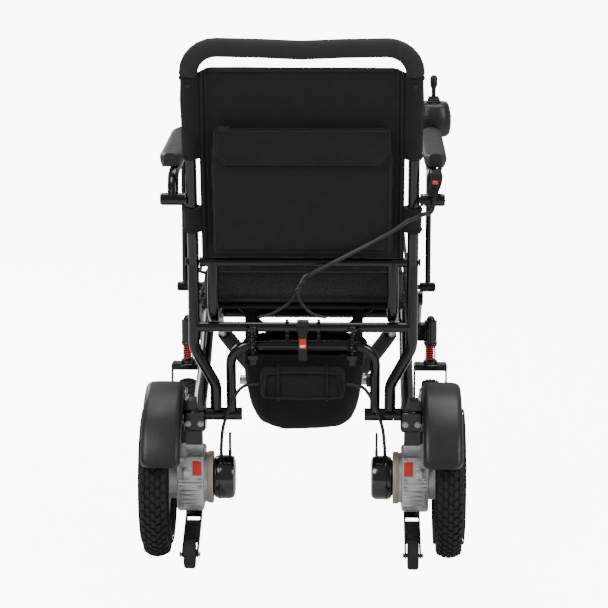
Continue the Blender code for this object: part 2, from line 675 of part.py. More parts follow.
def under_seat_bag():
    """An open-topped bag hung below the seat, narrower at its floor, with a battery inside."""
    mesh = bpy.data.meshes.new("bag")
    shape = bmesh.new()
    bmesh.ops.create_cube(shape, size=1.0)
    for corner in shape.verts:
        low = corner.co.z < 0
        corner.co.x *= 0.180 if low else 0.230
        corner.co.y = 0.15 + corner.co.y * (0.170 if low else 0.200)
        corner.co.z = 0.220 if low else 0.370
    top = [face for face in shape.faces if face.normal.z > 0.5]
    bmesh.ops.delete(shape, geom=top, context="FACES_ONLY")
    shape.to_mesh(mesh)
    shape.free()
    obj = bpy.data.objects.new("bag", mesh)
    SCENE.collection.objects.link(obj)
    edge = obj.modifiers.new("Bevel", "BEVEL")
    edge.width = 0.03
    edge.segments = 3
    wall = obj.modifiers.new("Wall", "SOLIDIFY")
    wall.thickness = 0.003
    wall.offset = -1.0
    set_origin(link_part(to_mesh(obj), "under_seat_bag", FABRIC), (0, *SEAT_REAR))
    pack = box((-0.068, 0.085, 0.236), (0.068, 0.215, 0.330), 0.006)
    set_origin(link_part(pack, "battery_pack", BLACK_PLASTIC), (0, *SEAT_REAR))


# ---------------------------------------------------------------- front legs and casters
def front_frame():
    pieces = [drum((-0.2205, *FRONT_PIVOT), (0.2205, *FRONT_PIVOT), 0.0080)]
    for _, side in SIDES:
        leg = rounded([(side * FRONT_LEG_X, *FRONT_PIVOT), (side * FRONT_LEG_X, 0.50, 0.345),
                       (side * FRONT_LEG_X, 0.596, 0.2960)], 0.08, 2)
        pieces.append(tube(leg, 0.0110))
        pieces.append(side_drum(side, 0.2097, 0.2320, *FRONT_PIVOT, 0.0145))
        pieces.append(side_box(side, FRONT_LEG_X, STRUT[0] - 0.009, (0.586, 0.614),
                               (0.278, 0.314), 0.002))
    whole = fuse(*pieces)
    for _, side in SIDES:
        x, y = side * STRUT[0], STRUT[1]
        profile = [(0, 0.3305), (0.0060, 0.3285), (0.0092, 0.3230), (0.0092, 0.3200),
                   (0.0135, 0.3190), (0.0135, 0.2660), (0.0068, 0.2660), (0.0068, 0.3020),
                   (0, 0.3020)]
        strut = lathe(profile, 16)
        strut.data.transform(Matrix.Translation((x, y, 0)))
        whole = fuse(whole, strut)
    set_origin(link_part(whole, "front_frame", BLACK_METAL), (0, *FRONT_PIVOT))
    for name, side in SIDES:
        spring = coil((side * STRUT[0], STRUT[1]), 0.0105, 0.0013, 0.2344, 0.2656, 3.5)
        link_part(spring, "strut_spring_" + name, RED_METAL)


def caster(name, side):
    x, y = side * STRUT[0], STRUT[1]
    axle_y = y - TRAIL
    profile = [(0, 0.2900), (0.0062, 0.2900), (0.0062, 0.2340), (0.0150, 0.2340),
               (0.0150, 0.2284), (0, 0.2284)]
    cup = lathe(profile, 16)
    cup.data.transform(Matrix.Translation((x, y, 0)))
    set_origin(link_part(cup, "caster_stem_" + name, BLACK_METAL), (x, y, 0.23))
    pieces = [box((x - 0.0350, y - 0.020, 0.2150), (x + 0.0350, y + 0.017, 0.2280), 0.003)]
    for flank in (-1, 1):
        pieces.append(bar((x + flank * 0.033, y - 0.004, 0.2200),
                          (x + flank * 0.033, axle_y, 0.0900), 0.0036, 0.022))
    pieces.append(drum((x - 0.0365, axle_y, CASTER_R), (x + 0.0365, axle_y, CASTER_R), 0.0050, 12))
    set_origin(link_part(fuse(*pieces), "caster_fork_" + name, BLACK_METAL), (x, y, 0.22))
    tyre = turn_to_x(wheel_ring(CASTER_R, CASTER_RIM_R + GAP, CASTER_W, 32), 0, 0, 0)
    link_part(tyre, "caster_tyre_" + name, RUBBER)
    tyre.location = (x, axle_y, CASTER_R)
    rim = spoked_rim(CASTER_RIM_R, 0.009, 0.030, 0.015, 0.024, 5, 0.014, 32)
    rim = cut(rim, drum((0, 0, -0.04), (0, 0, 0.04), 0.0055, 12))
    rim = link_part(turn_to_x(rim, 0, 0, 0), "caster_rim_" + name, SILVER_METAL)
    rim.location = (x, axle_y, CASTER_R)


# ---------------------------------------------------------------- assembly
rear_frame()
footrest()
link_frame()
back_frame()
back_covers()
joystick_cable()
latch_hook()
controller()
seat_frame()
seat_soft()
under_seat_bag()
front_frame()
for side_name, side_sign in SIDES:
    gearbox(side_name, side_sign)
    motor_cover(side_name, side_sign)
    freewheel_lever(side_name, side_sign)
    fender(side_name, side_sign)
    antitip_arm(side_name, side_sign)
    antitip_wheel(side_name, side_sign)
    rear_wheel(side_name, side_sign)
    armrest(side_name, side_sign)
    armrest_post(side_name, side_sign)
    caster(side_name, side_sign)
for part in PARTS.objects:
    part.location.y -= FOOTPRINT_MIDDLE
bpy.context.view_layer.update()
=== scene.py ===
import json
import math

import bmesh
import bpy
from mathutils import Matrix, Vector, noise


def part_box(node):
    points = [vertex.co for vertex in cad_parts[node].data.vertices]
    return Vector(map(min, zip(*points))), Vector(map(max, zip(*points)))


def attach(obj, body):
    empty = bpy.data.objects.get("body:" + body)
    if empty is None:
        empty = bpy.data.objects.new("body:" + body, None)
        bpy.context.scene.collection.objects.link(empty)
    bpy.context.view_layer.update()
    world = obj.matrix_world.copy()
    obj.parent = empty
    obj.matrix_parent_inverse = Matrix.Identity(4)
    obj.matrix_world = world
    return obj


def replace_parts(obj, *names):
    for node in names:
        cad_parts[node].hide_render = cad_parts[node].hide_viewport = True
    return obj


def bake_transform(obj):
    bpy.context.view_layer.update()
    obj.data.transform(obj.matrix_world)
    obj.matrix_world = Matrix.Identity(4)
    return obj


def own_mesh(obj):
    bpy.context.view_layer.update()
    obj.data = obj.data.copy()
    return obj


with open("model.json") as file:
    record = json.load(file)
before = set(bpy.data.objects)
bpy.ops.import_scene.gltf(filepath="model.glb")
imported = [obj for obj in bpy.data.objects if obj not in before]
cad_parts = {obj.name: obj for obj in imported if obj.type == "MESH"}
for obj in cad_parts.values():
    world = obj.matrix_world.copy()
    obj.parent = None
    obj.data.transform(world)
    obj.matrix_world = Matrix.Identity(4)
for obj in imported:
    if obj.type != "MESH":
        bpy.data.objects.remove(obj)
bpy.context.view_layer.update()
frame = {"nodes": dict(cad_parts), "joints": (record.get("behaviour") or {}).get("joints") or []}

SCENE = bpy.context.scene
JOINTS = {joint["name"]: joint for joint in frame["joints"]}
SIDES = (("left", -1), ("right", 1))

# ---- places taken from the frame
HINGE = Vector(JOINTS["seat_fold"]["pos_m"])
ARM_PIVOT = Vector(JOINTS["arm_fold_right"]["pos_m"])
LINK_PIVOT = Vector(JOINTS["fold"]["pos_m"])
KNEE = Vector(JOINTS["back_fold"]["pos_m"])
AXLE = Vector(JOINTS["wheel_spin_right"]["pos_m"])
RECLINE = math.atan2(HINGE.y - ARM_PIVOT.y, ARM_PIVOT.z - HINGE.z)
TUBE_X = ARM_PIVOT.x - 0.0149


def on_back(x, q, depth=0.0):
    """A point of the back: q runs up it from the seat hinge, depth runs forwards."""
    lean = RECLINE if q > 0 else 0.0
    up = Vector((0, -math.sin(lean), math.cos(lean)))
    ahead = Vector((0, math.cos(lean), math.sin(lean)))
    return Vector((x, HINGE.y, HINGE.z)) + up * q + ahead * depth


def back_height(z):
    """How far up the back a world height lies."""
    return (z - HINGE.z) / math.cos(RECLINE)


# ---- materials
def add_node(tree, kind, **values):
    node = tree.nodes.new(kind)
    for name, value in values.items():
        if hasattr(node, name):
            setattr(node, name, value)
        else:
            node.inputs[name.replace("_", " ").title()].default_value = value
    return node


def scaled(tree, source, low, high):
    """Maps a 0 to 1 value onto low to high."""
    node = tree.nodes.new("ShaderNodeMapRange")
    node.inputs["To Min"].default_value = low
    node.inputs["To Max"].default_value = high
    tree.links.new(source, node.inputs["Value"])
    return node.outputs["Result"]


def combined(tree, operation, first, second):
    node = tree.nodes.new("ShaderNodeMath")
    node.operation = operation
    for socket, value in zip(node.inputs, (first, second)):
        if isinstance(value, (int, float)):
            socket.default_value = value
        else:
            tree.links.new(value, socket)
    return node.outputs["Value"]


def noise_value(tree, place, scale, detail=3.0):
    node = add_node(tree, "ShaderNodeTexNoise", scale=scale, detail=detail)
    tree.links.new(place, node.inputs["Vector"])
    return node.outputs["Fac"]


def wave_value(tree, place, direction, scale, distortion=0.4):
    node = add_node(tree, "ShaderNodeTexWave", scale=scale, distortion=distortion)
    node.bands_direction = direction
    tree.links.new(place, node.inputs["Vector"])
    return node.outputs["Fac"]


def cell_value(tree, place, scale):
    node = add_node(tree, "ShaderNodeTexVoronoi", scale=scale)
    tree.links.new(place, node.inputs["Vector"])
    return node.outputs["Distance"]


def surface(name, colour, roughness, metallic=0.0, coat=0.0, sheen=0.0, grain=900.0,
            grain_depth=0.00004, mottle=14.0, spread=0.18, height=None, depth=0.0003, pattern=None):
    """A Principled material: mottled colour, fine grain, optional relief."""
    material = bpy.data.materials.new(name)
    material.use_nodes = True
    tree = material.node_tree
    shader = tree.nodes["Principled BSDF"]
    place = tree.nodes.new("ShaderNodeTexCoord").outputs["Object"]
    # A given pattern takes the place of the random mottle; the spacer mesh's pattern is painted shade in
    # its holes.
    patch = pattern(tree, place) if pattern else noise_value(tree, place, mottle, 5.0)
    tint = tree.nodes.new("ShaderNodeMix")
    tint.data_type = "RGBA"
    tint.inputs["A"].default_value = (*[c * (1 - spread) for c in colour], 1)
    tint.inputs["B"].default_value = (*[min(1, c * (1 + spread)) for c in colour], 1)
    tree.links.new(patch, tint.inputs["Factor"])
    tint_out = tint.outputs["Result"]
    tree.links.new(tint_out, shader.inputs["Base Color"])
    smear = noise_value(tree, place, mottle * 3.1, 4.0)
    tree.links.new(scaled(tree, smear, max(0.03, roughness - 0.09), min(1, roughness + 0.09)),
                   shader.inputs["Roughness"])
    shader.inputs["Metallic"].default_value = metallic
    shader.inputs["Coat Weight"].default_value = coat
    shader.inputs["Coat Roughness"].default_value = 0.08
    shader.inputs["Sheen Weight"].default_value = sheen
    shader.inputs["Sheen Roughness"].default_value = 0.5
    fine = add_node(tree, "ShaderNodeBump", strength=0.7, distance=grain_depth)
    tree.links.new(noise_value(tree, place, grain, 2.0), fine.inputs["Height"])
    last = fine
    if height:
        relief = add_node(tree, "ShaderNodeBump", strength=0.8, distance=depth)
        tree.links.new(height(tree, place), relief.inputs["Height"])
        tree.links.new(fine.outputs["Normal"], relief.inputs["Normal"])
        last = relief
    tree.links.new(last.outputs["Normal"], shader.inputs["Normal"])
    return material


def woven(tree, place):
    """Crossing threads, with soft creases below them."""
    threads = combined(tree, "MAXIMUM", wave_value(tree, place, "X", 420.0),
                       wave_value(tree, place, "Z", 420.0))
    creases = noise_value(tree, place, 11.0, 4.0)
    return combined(tree, "ADD", threads, combined(tree, "MULTIPLY", creases, 14.0))


def spacer_relief_and_hole_shade(tree, place):
    """The open cells of a knitted spacer fabric, as relief and as colour: each cell's hollow is painted
    darker as painted shade in the hole.
    """
    return combined(tree, "MINIMUM", cell_value(tree, place, 260.0), 0.6)


def pebbled(tree, place):
    return cell_value(tree, place, 520.0)


def cast_skin(tree, place):
    return noise_value(tree, place, 260.0, 6.0)


def foam_cells(tree, place):
    return cell_value(tree, place, 900.0)


PAINT = surface("frame_gloss_black", (0.0010, 0.0016, 0.0032), 0.16, coat=0.15, spread=0.3,
                grain=300, grain_depth=0.00001)
DARK_STEEL = surface("dark_steel", (0.045, 0.045, 0.050), 0.34, 0.9, spread=0.25, mottle=120)
FABRIC = surface("woven_black", (0.0040, 0.0040, 0.0048), 0.86, sheen=0.03, height=woven,
                 depth=0.0006, spread=0.3)
BINDING = surface("binding_black", (0.0055, 0.0055, 0.007), 0.78, sheen=0.04, height=woven,
                  depth=0.0003)
# The spacer mesh's colour follows its cells: painted shade darkens the hole of each cell.
MESH_FABRIC = surface("spacer_mesh_black", (0.020, 0.020, 0.023), 0.75, sheen=0.05,
                      height=spacer_relief_and_hole_shade, depth=0.0012, spread=0.9, pattern=spacer_relief_and_hole_shade)
THREAD = surface("thread_brown", (0.040, 0.034, 0.028), 0.7, sheen=0.05)
FOAM = surface("foam_dark", (0.013, 0.0135, 0.0155), 0.82, height=foam_cells, depth=0.0003,
               sheen=0.04)
CAST = surface("cast_alloy", (0.56, 0.57, 0.58), 0.40, 0.85, height=cast_skin, depth=0.0004,
               spread=0.16, mottle=30)
BEIGE = surface("ring_beige", (0.42, 0.38, 0.30), 0.5, 0.3, height=cast_skin, depth=0.0002)
SILVER = surface("brushed_silver", (0.55, 0.56, 0.58), 0.30, 0.95, spread=0.1, mottle=40)
ZINC = surface("zinc", (0.42, 0.42, 0.43), 0.35, 0.95, spread=0.2, mottle=90)
CAP = surface("motor_black", (0.004, 0.004, 0.005), 0.16, coat=0.8, grain=500)
MOULDED = surface("moulded_black", (0.006, 0.006, 0.007), 0.42, height=pebbled, depth=0.0001)
SHELL = surface("shell_satin", (0.013, 0.0133, 0.0150), 0.38, height=pebbled, depth=0.00012)
TYRE = surface("tyre_rubber", (0.0075, 0.0075, 0.008), 0.74, height=cast_skin, depth=0.0002,
               spread=0.3, mottle=22)
PAD = surface("pad_skin", (0.020, 0.021, 0.024), 0.52, height=pebbled, depth=0.0003)
RED = surface("spring_red", (0.62, 0.012, 0.010), 0.28, coat=0.6)
RED_PATCH = surface("patch_red", (0.75, 0.02, 0.012), 0.4, coat=0.2)
WHITE_PATCH = surface("patch_white", (0.75, 0.75, 0.73), 0.45)
CABLE = surface("cable_black", (0.007, 0.007, 0.008), 0.45, coat=0.1)
WEBBING = surface("webbing", (0.006, 0.006, 0.0075), 0.8, height=woven, depth=0.0004)


# ---- mesh helpers
def made(name, mesh):
    obj = bpy.data.objects.new(name, mesh)
    SCENE.collection.objects.link(obj)
    return obj


def applied(obj):
    """Bakes an object's modifiers into its mesh."""
    bpy.context.view_layer.update()
    graph = bpy.context.evaluated_depsgraph_get()
    mesh = bpy.data.meshes.new_from_object(obj.evaluated_get(graph))
    obj.modifiers.clear()
    obj.data = mesh
    return obj


def dressed(obj, body, *looks, smooth=50.0):
    """Gives a finished piece its materials, its smooth shading and its body."""
    obj.data.materials.clear()
    for look in looks:
        obj.data.materials.append(look)
    obj.data.shade_smooth()
    obj.data.set_sharp_from_angle(angle=math.radians(smooth))
    if body:
        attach(obj, body)
    return obj


def loft(name, rings, closed_path=False, open_start=False):
    """Skins a list of closed rings, capping the ends unless the path closes or its start is open."""
    mesh = bpy.data.meshes.new(name)
    count = len(rings[0])
    points = [point for ring in rings for point in ring]
    faces = []
    spans = len(rings) if closed_path else len(rings) - 1
    for row in range(spans):
        low, high = row * count, (row + 1) % len(rings) * count
        for i in range(count):
            after = (i + 1) % count
            faces.append((low + i, low + after, high + after, high + i))
    if not closed_path:
        faces.append(tuple(range(len(points) - count, len(points))))
    if not closed_path and not open_start:
        faces.append(tuple(reversed(range(count))))
    mesh.from_pydata(points, [], faces)
    shape = bmesh.new()
    shape.from_mesh(mesh)
    bmesh.ops.recalc_face_normals(shape, faces=shape.faces)
    shape.to_mesh(mesh)
    shape.free()
    return made(name, mesh)


def smooth_path(points, per_span=6):
    """A Catmull-Rom curve through the points."""
    points = [Vector(p) for p in points]
    ends = [points[0] * 2 - points[1], *points, points[-1] * 2 - points[-2]]
    path = []
    for a, b, c, d in zip(ends, ends[1:], ends[2:], ends[3:]):
        for step in range(per_span):
            t = step / per_span
            path.append(0.5 * (2 * b + (c - a) * t + (2 * a - 5 * b + 4 * c - d) * t * t
                               + (3 * b - 3 * c + d - a) * t ** 3))
    path.append(points[-1])
    return path


def angles(count, closed=False):
    """Even steps round a circle; a closed list repeats its first angle at the end."""
    return [2 * math.pi * k / count for k in range(count + int(closed))]


def hose(name, points, radius, sides=12, swell=None):
    """A round hose along a path; swell(t, angle) scales its radius."""
    rings = []
    side = None
    for i, point in enumerate(points):
        ahead = (points[min(i + 1, len(points) - 1)] - points[max(i - 1, 0)]).normalized()
        if side is None:
            side = ahead.orthogonal().normalized()
        side = (side - ahead * side.dot(ahead)).normalized()
        up = ahead.cross(side)
        t = i / (len(points) - 1)
        ring = []
        for angle in angles(sides):
            r = radius * (swell(t, angle) if swell else 1.0)
            ring.append(point + (side * math.cos(angle) + up * math.sin(angle)) * r)
        rings.append(ring)
    return loft(name, rings)


def joined(name, objects):
    """One mesh object out of several."""
    shape = bmesh.new()
    for obj in objects:
        mesh = obj.data.copy()
        mesh.transform(obj.matrix_world)
        shape.from_mesh(mesh)
        bpy.data.objects.remove(obj, do_unlink=True)
    mesh = bpy.data.meshes.new(name)
    shape.to_mesh(mesh)
    shape.free()
    return made(name, mesh)


def rounded_box(name, low, high, radius, segments=3):
    """A box between two corners with rounded edges."""
    shape = bmesh.new()
    low, high = Vector(low), Vector(high)
    bmesh.ops.create_cube(shape, size=1.0)
    bmesh.ops.transform(shape, matrix=Matrix.Translation((low + high) / 2)
                        @ Matrix.Diagonal((*(high - low), 1.0)), verts=shape.verts)
    bmesh.ops.bevel(shape, geom=shape.edges[:], offset=radius, segments=segments,
                    affect="EDGES", profile=0.5)
    mesh = bpy.data.meshes.new(name)
    shape.to_mesh(mesh)
    shape.free()
    return made(name, mesh)


def lean_with_back(obj):
    """Turns a piece built upright at the seat hinge into the plane of the back."""
    obj.data.transform(Matrix.Translation((0, HINGE.y, HINGE.z)) @ Matrix.Rotation(RECLINE, 4, "X"))
    return obj


def sheet(name, point_at, columns, rows, thickness):
    """A cloth sheet: point_at(u, v) gives each grid point, then it gets a thickness."""
    mesh = bpy.data.meshes.new(name)
    points = [point_at(c / columns, r / rows) for r in range(rows + 1) for c in range(columns + 1)]
    faces = []
    for r in range(rows):
        for c in range(columns):
            low = r * (columns + 1) + c
            faces.append((low, low + 1, low + columns + 2, low + columns + 1))
    mesh.from_pydata(points, [], faces)
    obj = made(name, mesh)
    wall = obj.modifiers.new("Wall", "SOLIDIFY")
    wall.thickness = thickness
    wall.offset = 0.0
    return applied(obj)


def wrinkle(obj, size, amount, stretch=(1, 1, 1), seed=0.0):
    """Moves each point along its normal by smooth noise."""
    mesh = obj.data
    normals = [vertex.normal.copy() for vertex in mesh.vertices]
    for vertex, normal in zip(mesh.vertices, normals):
        place = Vector((vertex.co.x * stretch[0], vertex.co.y * stretch[1],
                        vertex.co.z * stretch[2])) / size
        lift = noise.noise(place + Vector((seed, seed, seed)))
        lift += 0.5 * noise.noise(place * 2.3 + Vector((seed, 0, seed)))
        vertex.co += normal * lift * amount
    mesh.update()
    return obj


def padded(name, node, voxel, pressure, cap):
    """A cloth-simulated copy of a soft CAD solid, swollen by at most cap."""
    obj = made(name, frame["nodes"][node].data.copy())
    obj.matrix_world = Matrix.Identity(4)
    cut = obj.modifiers.new("Remesh", "REMESH")
    cut.mode = "VOXEL"
    cut.voxel_size = voxel
    applied(obj)
    rest = [vertex.co.copy() for vertex in obj.data.vertices]
    cloth = obj.modifiers.new("Cloth", "CLOTH")
    cloth.settings.use_pressure = True
    cloth.settings.uniform_pressure_force = pressure
    cloth.settings.effector_weights.gravity = 0
    cloth.collision_settings.use_collision = False
    for step in range(1, 21):
        SCENE.frame_set(step)
    applied(obj)
    SCENE.frame_set(1)
    for vertex, start in zip(obj.data.vertices, rest):
        move = vertex.co - start
        if move.length > cap:
            vertex.co = start + move.normalized() * cap
    finer = obj.modifiers.new("Subdivision", "SUBSURF")
    finer.levels = 1
    return applied(obj)


def stitches(name, path, spacing=0.0045, length=0.0028, radius=0.0005):
    """A row of short stitches along a path."""
    bits = []
    travelled = 0.0
    for a, b in zip(path, path[1:]):
        a, b = Vector(a), Vector(b)
        span = (b - a).length
        if span < 1e-6:
            continue
        ahead = (b - a) / span
        while travelled < span:
            start = a + ahead * travelled
            bits.append(hose(name + "_bit", [start, start + ahead * length], radius, 5))
            travelled += spacing
        travelled -= span
    return joined(name, bits)


def bolt(place, axis, radius, height, sides=6):
    """A hexagon head on a washer."""
    axis = Vector(axis).normalized()
    turn = axis.to_track_quat("Z", "Y").to_matrix().to_4x4()
    parts = []
    for r, low, high, n in ((radius * 1.35, 0, height * 0.25, 16), (radius, height * 0.2, height, sides)):
        shape = bmesh.new()
        bmesh.ops.create_cone(shape, cap_ends=True, segments=n, radius1=r, radius2=r * 0.94,
                              depth=high - low)
        bmesh.ops.translate(shape, vec=(0, 0, (low + high) / 2), verts=shape.verts)
        mesh = bpy.data.meshes.new("bolt")
        shape.to_mesh(mesh)
        shape.free()
        mesh.transform(Matrix.Translation(place) @ turn)
        parts.append(made("bolt", mesh))
    return joined("bolt", parts)


def piping(name, path, radius, body, sides=8):
    """A bound edge or hem that follows a path."""
    return dressed(hose(name, path, radius, sides), body, BINDING)


def sewn(name, path, body):
    """A row of stitches that follows a path."""
    return dressed(stitches(name, path), body, THREAD)


# ---- carried-over CAD nodes
def repaint(look, *names):
    """Gives CAD nodes a real material, and smooth shading with crisp edges."""
    for name in names:
        node = frame["nodes"][name]
        node.data.materials.clear()
        node.data.materials.append(look)
        node.data.shade_smooth()
        if "custom_normal" in node.data.attributes:
            node.data.attributes.remove(node.data.attributes["custom_normal"])
        weld = node.modifiers.new("Weld", "WELD")
        weld.merge_threshold = 0.00001
        crease = node.modifiers.new("EdgeSplit", "EDGE_SPLIT")
        crease.split_angle = math.radians(42)


def both(name):
    return [name + "_left", name + "_right"]


repaint(PAINT, "rear_frame", "link_frame", "back_frame", "seat_frame", "front_frame",
        *both("antitip_arm"), *both("arm_collar"), *both("armrest_frame"), *both("armrest_post"),
        *both("caster_stem"), *both("caster_fork"), *both("buffer_spring"))
repaint(CAST, *both("gearbox"), *both("rear_rim"), *both("caster_rim"))
repaint(DARK_STEEL, *both("buffer_bolt"))
repaint(SILVER, "footrest_hanger")
repaint(CAP, *both("motor_cover"))
repaint(MOULDED, "footplate", "latch_hook", "joystick_knob", "battery_pack",
        *both("freewheel_lever"))
repaint(TYRE, *both("antitip_wheel"))
repaint(FOAM, "push_bar_grip")
repaint(CABLE, "joystick_cable")


# ---- back upholstery
def back_sling():
    """The back's cloth panel, its piped and stitched sides and its top hem."""
    low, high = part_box("back_sling")
    half, top, bottom = high.x, back_height(high.z), back_height(low.z)

    def point_at(u, v):
        x = (2 * u - 1) * half
        q = bottom + (top - bottom) * v
        crease = 0.0020 * noise.noise(Vector((x * 14, q * 5, 1.5)))
        corner = 0.010 * max(0.0, v - 0.93) / 0.07 * max(0.0, abs(2 * u - 1) - 0.9) / 0.1
        return on_back(x, q - corner, -0.0012 + crease)

    cloth = sheet("back_sling_cloth", point_at, 48, 48, 0.0036)
    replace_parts(dressed(cloth, "back", FABRIC), "back_sling")
    for name, side in SIDES:
        edge = [on_back(side * (half - 0.006), bottom + (top - 0.008 - bottom) * i / 30, -0.0045)
                for i in range(31)]
        piping("back_piping_" + name, edge, 0.0024, "back")
        line = [on_back(side * (half - 0.014), bottom + (top - bottom) * i / 8, -0.0046)
                for i in range(9)]
        sewn("back_stitch_" + name, line, "back")
    hem = [on_back((half - 0.020) * (2 * i / 20 - 1), top - 0.004, -0.0030) for i in range(21)]
    piping("back_top_hem", hem, 0.0032, "back")


def tube_sleeves():
    """Fabric tunnels and straps that wrap the back tubes, with a web reaching in to the sling."""
    sides, wrap = 28, 0.0152
    for kind, start, end, rows in (("sleeve", 0.210, 0.3690, 26), ("strap", 0.064, 0.1120, 10)):
        for name, side in SIDES:
            rings = []
            for row in range(rows + 1):
                q = start + (end - start) * row / rows
                ring = []
                for angle in angles(sides):
                    c, s = math.cos(angle), math.sin(angle)
                    inward = max(0.0, -c)
                    r = wrap + 0.0012 * noise.noise(Vector((c * 1.5, s * 1.5, q * 28)))
                    x = r * c - 0.0075 * inward ** 3
                    depth = r * s * (1 - 0.55 * inward ** 2)
                    ring.append(on_back(side * (TUBE_X + x), q, depth))
                rings.append(ring)
            dressed(loft(f"tube_{kind}_{name}", rings), "back", FABRIC)
            for i, q in enumerate((start + 0.004, end - 0.004)):
                hem = wrap + 0.0006
                band = [on_back(side * (TUBE_X + hem * math.cos(a)), q, hem * math.sin(a))
                        for a in [math.radians(degrees) for degrees in range(-115, 116, 10)]]
                piping(f"{kind}_hem_{name}_{i}", band, 0.0014, "back")
            if kind == "sleeve":
                place = on_back(side * TUBE_X, end - 0.014, -0.0150)
                screw = bolt(place, (0, -1, -0.28), 0.0032, 0.0020, 12)
                screw.name = "sleeve_screw_" + name
                dressed(screw, "back", DARK_STEEL)


def pocket():
    """The swollen pocket, pressed in where its flap lies over it."""
    pouch = padded("back_pocket_cloth", "back_pocket", 0.005, 4.0, 0.006)
    wrinkle(pouch, 0.075, 0.0022, (0.6, 1, 1.6), 2.0)
    up, ahead = on_back(0, 1) - on_back(0, 0), on_back(0, 1, 1) - on_back(0, 1)
    flap_bottom = back_height(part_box("pocket_flap")[0].z)
    under_flap, bulge, fade = -0.0225, 0.0045, 0.040
    for vertex in pouch.data.vertices:
        q, depth = (vertex.co - HINGE).dot(up), (vertex.co - HINGE).dot(ahead)
        below = min(1.0, max(0.0, (flap_bottom - 0.004 - q) / fade))
        limit = under_flap - bulge * below * below * (3 - 2 * below)
        if depth < limit:
            vertex.co += ahead * (limit - depth)
    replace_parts(dressed(pouch, "back", FABRIC), "back_pocket")
    low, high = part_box("back_pocket")
    half, bottom = high.x - 0.010, back_height(low.z) + 0.012
    top = flap_bottom - 0.002
    path = [on_back(x, q, under_flap - 0.0043) for x, q in ((-half, top), (-half, bottom), (half, bottom),
                                                            (half, top))]
    sewn("pocket_stitch", path, "back")


def flap():
    """The pocket's flap with cut corners, a bound edge, stitches, a seam and a small tag."""
    low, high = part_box("pocket_flap")
    half, top, bottom = high.x, back_height(high.z), back_height(low.z)
    chamfer = 0.018

    def point_at(u, v):
        x = (2 * u - 1) * half
        cut = max(0.0, abs(x) - (half - chamfer))
        q = top - (top - bottom - cut) * v
        swell = -0.0016 * math.sin(v * math.pi) + 0.0012 * noise.noise(Vector((x * 16, q * 20, 4)))
        return on_back(x, q, -0.0262 + swell - 0.0014 * v)

    cloth = sheet("pocket_flap_cloth", point_at, 56, 14, 0.0030)
    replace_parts(dressed(cloth, "flap", FABRIC), "pocket_flap")
    inset = 0.006
    rim = [(-half + inset, top - 0.004), (-half + inset, bottom + chamfer + 0.002),
           (-half + chamfer + 0.002, bottom + inset), (half - chamfer - 0.002, bottom + inset),
           (half - inset, bottom + chamfer + 0.002), (half - inset, top - 0.004)]
    path = [on_back(x, q, -0.0298) for x, q in rim]
    sewn("flap_stitch", path, "flap")
    edge = [(-half + 0.001, top - 0.003), (-half + 0.001, bottom + chamfer), (-half + chamfer, bottom),
            (half - chamfer, bottom), (half - 0.001, bottom + chamfer), (half - 0.001, top - 0.003)]
    piping("flap_binding", [on_back(x, q, -0.0278) for x, q in edge], 0.0021, "flap")
    seam = [on_back(half * (2 * i / 12 - 1), top - 0.001, -0.0275) for i in range(13)]
    piping("flap_seam", seam, 0.0016, "back")
    tag = rounded_box("flap_tag", (-0.150, -0.0300, top - 0.002), (-0.128, -0.0265, top + 0.009), 0.0012)
    dressed(lean_with_back(tag), "back", BINDING)


# ---- seat upholstery
def rounded_loop(low, high, z, corner, steps=6):
    """A closed rounded rectangle at height z."""
    path = []
    for cx, cy, first in ((high.x - corner, high.y - corner, 0), (low.x + corner, high.y - corner, 90),
                          (low.x + corner, low.y + corner, 180), (high.x - corner, low.y + corner, 270)):
        for step in range(steps + 1):
            angle = math.radians(first + 90 * step / steps)
            path.append(Vector((cx + corner * math.cos(angle), cy + corner * math.sin(angle), z)))
    return path + [path[0]]


def cushion():
    """The crowned seat cushion: woven top and bottom, spacer mesh round its sides, piped edges."""
    pad = padded("seat_cushion_cloth", "seat_cushion", 0.006, 4.0, 0.008)
    low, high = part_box("seat_cushion")
    wrinkle(pad, 0.10, 0.0014, (1, 1, 0.6), 7.0)
    for vertex in pad.data.vertices:
        vertex.co.z = max(vertex.co.z, low.z)
    dressed(pad, "seat", FABRIC, MESH_FABRIC)
    for face in pad.data.polygons:
        face.material_index = 1 if abs(face.normal.z) < 0.6 else 0
    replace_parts(pad, "seat_cushion")
    grow = Vector((0.002, 0.002, 0))
    for name, z in (("top", high.z - 0.009), ("bottom", low.z + 0.009)):
        path = rounded_loop(low - grow, high + grow, z, 0.022)
        piping("cushion_piping_" + name, path, 0.0030, "seat")


def seat_sling():
    """The cloth that carries the cushion, sagging a little between its hemmed sides."""
    low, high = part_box("seat_sling")

    def point_at(u, v):
        x = low.x + (high.x - low.x) * u
        y = low.y + (high.y - low.y) * v
        sag = 0.003 * math.sin(math.pi * u) * math.sin(math.pi * v)
        return Vector((x, y, (low.z + high.z) / 2 + 0.002 - sag))

    cloth = sheet("seat_sling_cloth", point_at, 36, 36, 0.0040)
    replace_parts(dressed(cloth, "seat", WEBBING), "seat_sling")
    for name, side in SIDES:
        edge = [Vector((side * (high.x - 0.002), low.y + (high.y - low.y) * i / 20,
                        (low.z + high.z) / 2 + 0.002)) for i in range(21)]
        piping("seat_sling_hem_" + name, edge, 0.0034, "seat")


